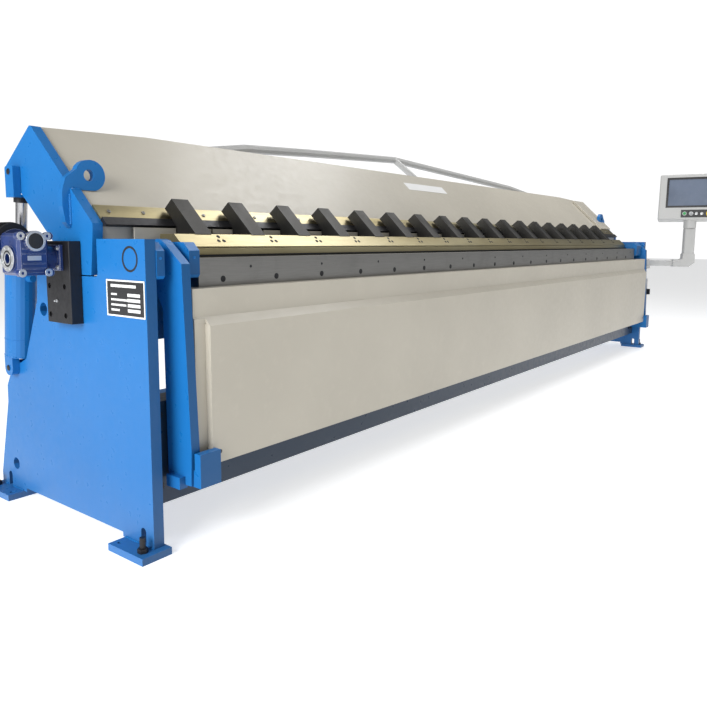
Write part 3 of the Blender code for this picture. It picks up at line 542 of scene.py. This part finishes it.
def on_slope(x, along, proud):
    """A point over the cover's slope: along it from its foot, and proud of the end plates."""
    return SLOPE_FOOT + X * x + SLOPE * along + SLOPE_OUT * proud


def slope_block(bm, x0, x1, along0, along1, proud0, proud1):
    outline = [on_slope(0, along0, proud0), on_slope(0, along1, proud0),
               on_slope(0, along1, proud1), on_slope(0, along0, proud1)]
    add_prism(bm, [(p.y, p.z) for p in outline], x0, x1)


def clamping_beam_details():
    fingers = sorted(n for n in NODES if n.startswith("finger_"))
    blade_low, blade_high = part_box("clamp_blade")

    bm = bmesh.new()
    edges = [blade_low.x - 0.075]
    for a, b in zip(fingers, fingers[1:]):
        edges.append((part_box(a)[1].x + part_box(b)[0].x) / 2)
    edges.append(blade_high.x + 0.06)
    for a, b in zip(edges, edges[1:]):
        add_block(bm, (a + 0.004, 0.2300, 0.8822), (b - 0.004, 0.2358, 0.9352))
    piece("shim_plates", bm, "cream_paint", "clamping_beam", 0.0008)

    bm = bmesh.new()
    out = Vector((0, -0.0375, 0.042)).normalized()
    for name in fingers:
        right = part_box(name)[1].x
        for dx, z in ((0.010, 0.896), (0.032, 0.896), (0.021, 0.909)):
            y = 0.090 + (z - 0.879) / 0.0375 * 0.042
            add_counterbore(bm, Vector((right + dx, y, z)), out, 0.0066)
    # Dark discs: black screw heads, with painted shade for their counterbores.
    piece("blade_screws", bm, "rubber", "clamping_beam")

    bm = bmesh.new()
    count = 40
    for i in range(count + 1):
        x = 0.075 + (LENGTH - 0.15) * i / count
        if all(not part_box(n)[0].x - 0.012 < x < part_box(n)[1].x + 0.012 for n in fingers):
            add_screw(bm, on_slope(x, 0.046, 0.006), SLOPE_OUT, 0.0062, 0.0030, i)
    piece("rail_screws", bm, "ground_steel", "clamping_beam")

    bm = bmesh.new()
    slope_block(bm, 2.10, 2.52, 0.345, 0.402, -0.0072, -0.0056)
    piece("blank_label", bm, "white_print", "clamping_beam", 0.0004)

    bm = bmesh.new()
    slope_block(bm, 4.800, LENGTH - 0.0365, 0.083, 0.432, -0.0072, 0.0120)
    slope_block(bm, LENGTH - 0.0380, LENGTH - 0.0008, 0.083, 0.432, 0.0004, 0.0120)
    piece("cover_end_strap", bm, "cream_paint", "clamping_beam", 0.003)

    bm = bmesh.new()
    for y in (0.3558, 0.3812):
        add_bead(bm, [(-0.0008, y, 0.940), (-0.0008, y, 1.034)], 0.0038)
    add_bead(bm, [(0.0030, 0.3552, 1.0475), (0.0330, 0.3552, 1.0475)], 0.0036)
    mirror(bm)
    piece("eye_welds", bm, "weld", "clamping_beam")

    bm = bmesh.new()
    for x in (0.575, LENGTH / 2, LENGTH - 0.575):
        for dx in (-0.020, 0.020):
            add_hex(bm, (x + dx, 0.655, 1.213), Y, 0.006, 0.005, x)
    piece("truss_bolts", bm, "black_oxide", "clamping_beam")


# ---- folding beam --------------------------------------------------------------------------------

def add_counterbore(bm, at, out, radius):
    """Flat dark disc with the socket of a screw in it: the screw head's own dark, with painted
    shade for the counterbore round it.
    """
    add_turned(bm, at, out, [(radius, -0.0004), (radius, 0.0005), (radius * 0.93, 0.0007),
                             (radius * 0.80, 0.0003), (radius * 0.74, 0.0006),
                             (radius * 0.42, 0.0006, 6), (radius * 0.40, 0.0003, 6)], 24, 0.3)


def folding_beam_details():
    low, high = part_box("apron_blade")
    pitch = 0.2350
    bm = bmesh.new()
    x = low.x + 0.095
    while x < high.x - 0.03:
        add_counterbore(bm, (x, low.y, 0.7815), -Y, 0.0098)
        x += pitch
    # Dark discs: black screw heads, with painted shade for their counterbores.
    piece("apron_blade_screws", bm, "rubber", "folding_beam")
    bm = bmesh.new()
    x = low.x + 0.2125
    while x < high.x - 0.03:
        add_counterbore(bm, (x, low.y, 0.817), -Y, 0.0046)
        x += 1.5 * pitch
    # Small dark discs with sockets: dark screw heads, with painted shade for their counterbores.
    piece("apron_blade_pins", bm, "rubber", "folding_beam")
    bm = bmesh.new()
    add_turned(bm, (0.200, -0.0620, 0.275), -Y, [(0.0062, -0.0003), (0.0062, 0.0008),
                                                 (0.005, 0.0014), (0.001, 0.0015)])
    mirror(bm)
    piece("apron_plugs", bm, "black_plastic", "folding_beam")


# ---- drive, cylinders and hydraulics -------------------------------------------------------------

def drive_details():
    """Machined faces, seals, ribs and fins of the geared motor."""
    low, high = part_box("geared_motor")
    clamp = Vector(JOINTS["clamp_tilt"]["pos_m"])
    worm = Vector((-0.130, low.y, 0.893))
    face, front = -0.183, 0.330     # the output ring's face and the cast ears' face
    obj = NODES["geared_motor"]
    obj.data.materials.append(LOOKS["black_oxide"])
    obj.data.materials.append(LOOKS["cast_aluminium"])
    motor_from, cover_up_to = 0.4405, 0.3295
    for polygon in obj.data.polygons:
        if polygon.center.y > motor_from:
            polygon.material_index = 1
        elif polygon.center.y < cover_up_to:
            polygon.material_index = 2
    bm = bmesh.new()
    add_ring(bm, (face + 0.0002, clamp.y, clamp.z), -X, 0.0235, 0.0368, 0.0016, 40)
    add_ring(bm, (face + 0.0002, clamp.y, clamp.z), -X, 0.0146, 0.0180, 0.0016, 32)
    for k in range(8):
        angle = math.pi * (k + 0.5) / 4
        at = (face - 0.0012, clamp.y + 0.030 * math.cos(angle), clamp.z + 0.030 * math.sin(angle))
        add_screw(bm, at, -X, 0.0028, 0.0016, angle)
    add_ring(bm, (worm.x, worm.y + 0.0002, worm.z), -Y, 0.0222, 0.0288, 0.0016, 40)
    for x in (worm.x - 0.039, worm.x + 0.038):
        for z in (0.803, 0.907):
            add_ring(bm, (x, front + 0.0002, z), -Y, 0.0045, 0.0112, 0.0016, 24)
    add_block(bm, (-0.150, 0.3348, 0.838), (-0.110, 0.3362, 0.851))
    piece("gearbox_machined_faces", bm, "cast_aluminium", "frame")
    bm = bmesh.new()
    add_ring(bm, (face + 0.0002, clamp.y, clamp.z), -X, 0.0180, 0.0235, 0.0009, 32)
    add_turned(bm, (worm.x, worm.y + 0.0002, worm.z), -Y,
               [(0.0220, 0.0), (0.0220, 0.0008), (0.0200, 0.0022), (0.006, 0.0026)], 32)
    piece("gearbox_seals", bm, "rubber", "frame")
    bm = bmesh.new()
    for z in (0.815, 0.829, 0.857, 0.871):
        add_block(bm, (worm.x - 0.034, front + 0.0045, z - 0.0022),
                  (worm.x + 0.034, front + 0.0065, z + 0.0022))
    piece("gearbox_ribs", bm, "gearbox", "frame", 0.0006)
    bm = bmesh.new()
    for y in (0.350, 0.420):
        for z in (0.816, 0.872):
            add_hex(bm, (-0.0520, y, z), -X, 0.0052, 0.0050, y * 3)
    piece("drive_flange_bolts", bm, "cast_aluminium", "frame")

    bm = bmesh.new()
    fins, first_fin, fin_pitch = 14, 0.464, 0.0092
    for k in range(fins):
        y = first_fin + fin_pitch * k
        add_ring(bm, (worm.x, y, worm.z), Y, 0.0490, 0.0548, 0.0026, 40)
    piece("motor_fins", bm, "black_oxide", "frame")
    bm = bmesh.new()
    for radius in (0.012, 0.022, 0.032, 0.042):
        add_ring(bm, (worm.x, high.y - 0.0006, worm.z), Y, radius - 0.003, radius, 0.0012)
    piece("fan_grille", bm, "black_plastic", "frame")


def cylinder_details():
    """Seam rings, gland face and pin caps on each cylinder."""
    for end in ("left", "right"):
        base = Vector(JOINTS[f"cylinder_swing_{end}"]["pos_m"])
        top = Vector(JOINTS[f"rod_swing_{end}"]["pos_m"])
        axis = (top - base).normalized()
        span = (top - base).length
        bm = bmesh.new()
        for at, width in ((0.150, 0.004), (0.560, 0.003)):
            add_ring(bm, base + axis * span * at, axis, 0.0490, 0.0518, width, 40)
        add_bead(bm, [base + axis * span * 0.066 + Vector((math.cos(a), 0, 0)) * 0.0495
                      + axis.cross(X) * math.sin(a) * 0.0495
                      for a in [math.pi * k / 12 for k in range(25)]], 0.0026)
        piece(f"cylinder_seams_{end}", bm, "weld", f"barrel_{end}")
        bm = bmesh.new()
        add_ring(bm, base + axis * span * 0.6705, axis, 0.0222, 0.0330, 0.0030, 36)
        piece(f"gland_wiper_{end}", bm, "rubber", f"barrel_{end}")
        bm = bmesh.new()
        for side in (-1, 1):
            x = base.x + side * 0.0440
            add_turned(bm, (x, base.y, base.z), X * side,
                       [(0.0098, -0.0003), (0.0098, 0.0012), (0.0085, 0.0020), (0.003, 0.0022)])
        piece(f"base_pin_caps_{end}", bm, "black_oxide", f"barrel_{end}")
        bm = bmesh.new()
        for side in (-1, 1):
            x = top.x + side * 0.0440
            add_turned(bm, (x, top.y, top.z), X * side,
                       [(0.0098, -0.0003), (0.0098, 0.0012), (0.0085, 0.0020), (0.003, 0.0022)])
        piece(f"top_pin_caps_{end}", bm, "black_oxide", f"rod_{end}")


def paint_rod_forks():
    """The rod is chrome below, its collar black and its fork blue."""
    for end in ("left", "right"):
        obj = NODES[f"cylinder_rod_{end}"]
        obj.data.materials.append(LOOKS["blue_paint"])
        obj.data.materials.append(LOOKS["black_oxide"])
        top = Vector(JOINTS[f"rod_swing_{end}"]["pos_m"])
        fork_from, collar_from = top.z - 0.0825, 1.010
        for face in obj.data.polygons:
            if face.center.z > fork_from:
                face.material_index = 1
            elif face.center.z > collar_from:
                face.material_index = 2


def hydraulic_details():
    low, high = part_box("hydraulic_unit")
    bm = bmesh.new()
    for x in (low.x + 0.03, low.x + 0.15, high.x - 0.15, high.x - 0.03):
        for y in (low.y + 0.02, high.y - 0.02):
            add_hex(bm, (x, y, 0.400), Z, 0.006, 0.005, x * 5)
    piece("tank_bolts", bm, "black_oxide", "frame")
    bm = bmesh.new()
    add_turned(bm, (2.27, 0.560, 0.400), Z, [(0.026, -0.0004), (0.026, 0.012), (0.030, 0.014),
                                             (0.030, 0.036), (0.024, 0.042)], 24)
    for k in range(9):
        add_ring(bm, (2.36, 0.580, 0.430 + 0.017 * k), Z, 0.0690, 0.0745, 0.004, 32)
    piece("tank_filler_and_fins", bm, "black_plastic", "frame")
    bm = bmesh.new()
    for k in range(4):
        add_turned(bm, (2.545 + 0.043 * k, 0.580, 0.480), Z,
                   [(0.016, -0.0004, 6), (0.016, 0.012, 6), (0.0135, 0.013), (0.0135, 0.044),
                    (0.011, 0.047)], 24)
    piece("valves", bm, "cast_aluminium", "frame")
    bm = bmesh.new()
    add_turned(bm, (2.72, low.y, 0.270), -Y, [(0.016, -0.0004), (0.016, 0.003), (0.014, 0.004),
                                             (0.010, 0.0042), (0.009, 0.003)], 24)
    piece("oil_glass", bm, "screen", "frame")


# ---- switch box and pendant ----------------------------------------------------------------------

def switch_box_details():
    """Lid, screws and switch ring of the electrical box, and the arm bracket's bolts."""
    x1, z0, z1 = LENGTH + 0.145, 0.255, 0.585
    bm = bmesh.new()
    add_block(bm, (x1 - 0.0002, 0.012, z0 + 0.012), (x1 + 0.0016, 0.288, z1 - 0.012))
    piece("switch_box_lid", bm, "grey_paint", "frame", 0.001)
    bm = bmesh.new()
    for y in (0.030, 0.270):
        for z in (z0 + 0.030, z1 - 0.030):
            add_screw(bm, (x1 + 0.0016, y, z), X, 0.0060, 0.0035, y)
    piece("lid_screws", bm, "black_oxide", "frame")
    knob = Vector(JOINTS["main_switch_turn"]["pos_m"])
    bm = bmesh.new()
    add_ring(bm, (knob.x, 0.0002, knob.z), -Y, 0.0275, 0.0325, 0.0012, 40)
    piece("switch_ring", bm, "grey_plastic", "frame")
    bm = bmesh.new()
    x, y, z = JOINTS["pendant_arm_swing"]["pos_m"]
    for dx in (-0.105, -0.060):
        add_hex(bm, (x + dx, y, z - 0.0285), Z, 0.0075, 0.006, dx)
    piece("bracket_bolts", bm, "black_oxide", "frame")


def pendant_details():
    """Screen, bezel, button strip and the other small pieces of the pendant."""
    start = Vector(JOINTS["start_button_press"]["pos_m"])
    stop = Vector(JOINTS["emergency_stop_press"]["pos_m"])
    out = -Vector(JOINTS["start_button_press"]["axis"]).normalized()
    right = (stop - start).normalized()
    up = out.cross(right)
    w, h, d = 0.25, 0.195, 0.055
    middle = start + right * 0.045 + up * (h - 0.051) - out * (d - 0.002)
    place = Matrix.Translation(middle) @ Matrix((right, up, out)).transposed().to_4x4()

    bm = bmesh.new()
    add_block(bm, (-w + 0.0555, -h + 0.1035, d - 0.0059), (w - 0.0555, h - 0.0285, d - 0.0038),
              place)
    piece("screen_glass", bm, "screen", "pendant", 0.0006)
    bm = bmesh.new()
    x0, x1, y0, y1, rim = -w + 0.0555, w - 0.0555, -h + 0.1035, h - 0.0285, 0.017
    for low, high in (((x0, y0), (x1, y0 + rim)), ((x0, y1 - rim), (x1, y1)),
                      ((x0, y0 + rim), (x0 + rim, y1 - rim)),
                      ((x1 - rim, y0 + rim), (x1, y1 - rim))):
        add_block(bm, (*low, d - 0.0058), (*high, d - 0.0012), place)
    piece("screen_bezel", bm, "black_plastic", "pendant", 0.0008)
    bm = bmesh.new()
    centre = -h + 0.051
    x0, x1, y0, y1 = -w + 0.1775, w - 0.0455, -h + 0.0180, -h + 0.0840
    add_block(bm, (x0, y0, d - 0.0019), (-0.057, y1, d + 0.0004), place)
    add_block(bm, (-0.057, y0, d - 0.0019), (0.127, centre - 0.0125, d + 0.0004), place)
    add_block(bm, (-0.057, centre + 0.0125, d - 0.0019), (0.127, y1, d + 0.0004), place)
    add_block(bm, (-0.033, centre - 0.0125, d - 0.0019), (-0.007, centre + 0.0125, d + 0.0004),
              place)
    add_block(bm, (0.017, centre - 0.0125, d - 0.0019), (0.127, centre + 0.0125, d + 0.0004),
              place)
    add_block(bm, (0.127, y0, d - 0.0019), (x1, centre - 0.0225, d + 0.0004), place)
    add_block(bm, (0.127, centre + 0.0225, d - 0.0019), (x1, y1, d + 0.0004), place)
    add_block(bm, (0.173, centre - 0.0225, d - 0.0019), (x1, centre + 0.0225, d + 0.0004), place)
    piece("button_strip", bm, "black_plastic", "pendant")
    bm = bmesh.new()
    for x, radius in ((-0.045, 0.0125), (0.005, 0.0125)):
        add_ring(bm, place @ Vector((x, centre, d - 0.0018)), out, radius, radius + 0.0035, 0.004)
    for x in (0.045, 0.085):
        add_turned(bm, place @ Vector((x, centre, d - 0.0006)), out,
                   [(0.0115, 0.0), (0.0115, 0.003), (0.0085, 0.0036), (0.0080, 0.006),
                    (0.0070, 0.0066)], 24)
    piece("button_bezels", bm, "cast_aluminium", "pendant")
    bm = bmesh.new()
    add_ring(bm, place @ Vector((0.150, centre, d - 0.0018)), out, 0.0222, 0.0325, 0.0036, 40)
    piece("emergency_stop_ring", bm, "yellow_plastic", "pendant")
    bm = bmesh.new()
    for x in (-w + 0.022, w - 0.022):
        for y in (-h + 0.022, h - 0.022):
            add_screw(bm, place @ Vector((x, y, -d)), -out, 0.0055, 0.0030, x)
    piece("pendant_back_screws", bm, "black_oxide", "pendant")
    bm = bmesh.new()
    for k in range(9):
        y = -0.03 + 0.012 * k
        add_block(bm, (-0.08, y - 0.0022, -d - 0.0012), (0.08, y + 0.0022, -d + 0.0004), place)
    piece("pendant_back_vents", bm, "black_plastic", "pendant")


name_plate()
side_details()
clamping_beam_details()
folding_beam_details()
drive_details()
cylinder_details()
paint_rod_forks()
hydraulic_details()
switch_box_details()
pendant_details()


# ---- floor, light and camera ---------------------------------------------------------------------

FLOOR_LOW, FLOOR_HIGH = -30, 40


def floor():
    """Plain pale floor, with a little light of its own so that it stays pale under the machine."""
    look = Look("pale_floor", (0.86, 0.87, 0.88), 0.6, Emission_Color=(1, 1, 1, 1),
                Emission_Strength=0.55)
    look.tint(look.remap(look.noise(0.7, 3), 0.3, 0.7, 0.0, 0.3), (0.90, 0.90, 0.905))
    mesh = bpy.data.meshes.new("floor")
    mesh.from_pydata([(FLOOR_LOW, FLOOR_LOW, 0), (FLOOR_HIGH, FLOOR_LOW, 0),
                      (FLOOR_HIGH, FLOOR_HIGH, 0), (FLOOR_LOW, FLOOR_HIGH, 0)],
                     [], [(0, 1, 2, 3)])
    mesh.materials.append(look.material)
    obj = bpy.data.objects.new("floor", mesh)
    SCENE.collection.objects.link(obj)


def area_light(name, place, aim, size, power):
    data = bpy.data.lights.new(name, "AREA")
    data.shape = "RECTANGLE"
    data.size, data.size_y = size
    data.energy = power
    obj = bpy.data.objects.new(name, data)
    SCENE.collection.objects.link(obj)
    obj.location = place
    obj.rotation_euler = (Vector(aim) - Vector(place)).to_track_quat("-Z", "Y").to_euler()


def lights():
    """White studio that lights the machine dimly, and three soft panels: left, front and above."""
    world = bpy.data.worlds.new("studio")
    SCENE.world = world
    world.use_nodes = True
    tree = world.node_tree
    back = tree.nodes["Background"]
    back.inputs["Color"].default_value = (0.97, 0.985, 1.0, 1.0)
    back.inputs["Strength"].default_value = 0.22
    seen = tree.nodes.new("ShaderNodeBackground")
    seen.inputs["Color"].default_value = (1.0, 1.0, 1.0, 1.0)
    seen.inputs["Strength"].default_value = 1.05
    path = tree.nodes.new("ShaderNodeLightPath")
    mix = tree.nodes.new("ShaderNodeMixShader")
    tree.links.new(path.outputs["Is Camera Ray"], mix.inputs["Fac"])
    tree.links.new(back.outputs["Background"], mix.inputs[1])
    tree.links.new(seen.outputs["Background"], mix.inputs[2])
    tree.links.new(mix.outputs["Shader"], tree.nodes["World Output"].inputs["Surface"])
    area_light("key", (-5.2, -0.5, 3.0), (0.4, 0.3, 0.5), (4.0, 3.0), 400)
    area_light("front", (2.9, -5.5, 3.0), (2.7, 0.0, 0.6), (7.0, 2.5), 36)
    area_light("top", (4.6, 0.2, 4.8), (4.0, 0.3, 0.8), (5.0, 2.5), 170)
    SCENE.view_settings.view_transform = "Standard"


def camera():
    """The lens and its small shift take in the whole machine at 707 x 707."""
    place = (-1.1214, -1.5502, 0.8993)
    yaw, pitch, roll = 0.906987, 0.132077, 0.0055599
    focal, centre_x, centre_y, side = 679.45, 341.47, 330.68, 707.0
    data = bpy.data.cameras.new("camera")
    data.sensor_width = 36.0
    data.lens = focal / side * data.sensor_width
    data.shift_x = (side / 2 - centre_x) / side
    data.shift_y = (centre_y - side / 2) / side
    data.clip_start = 0.05
    obj = bpy.data.objects.new("camera", data)
    SCENE.collection.objects.link(obj)
    ahead = Vector((math.sin(yaw) * math.cos(pitch), math.cos(yaw) * math.cos(pitch),
                    -math.sin(pitch)))
    turn = ahead.to_track_quat("-Z", "Y").to_matrix().to_4x4() @ Matrix.Rotation(roll, 4, "Z")
    obj.matrix_world = Matrix.Translation(place) @ turn
    SCENE.camera = obj


floor()
lights()
camera()
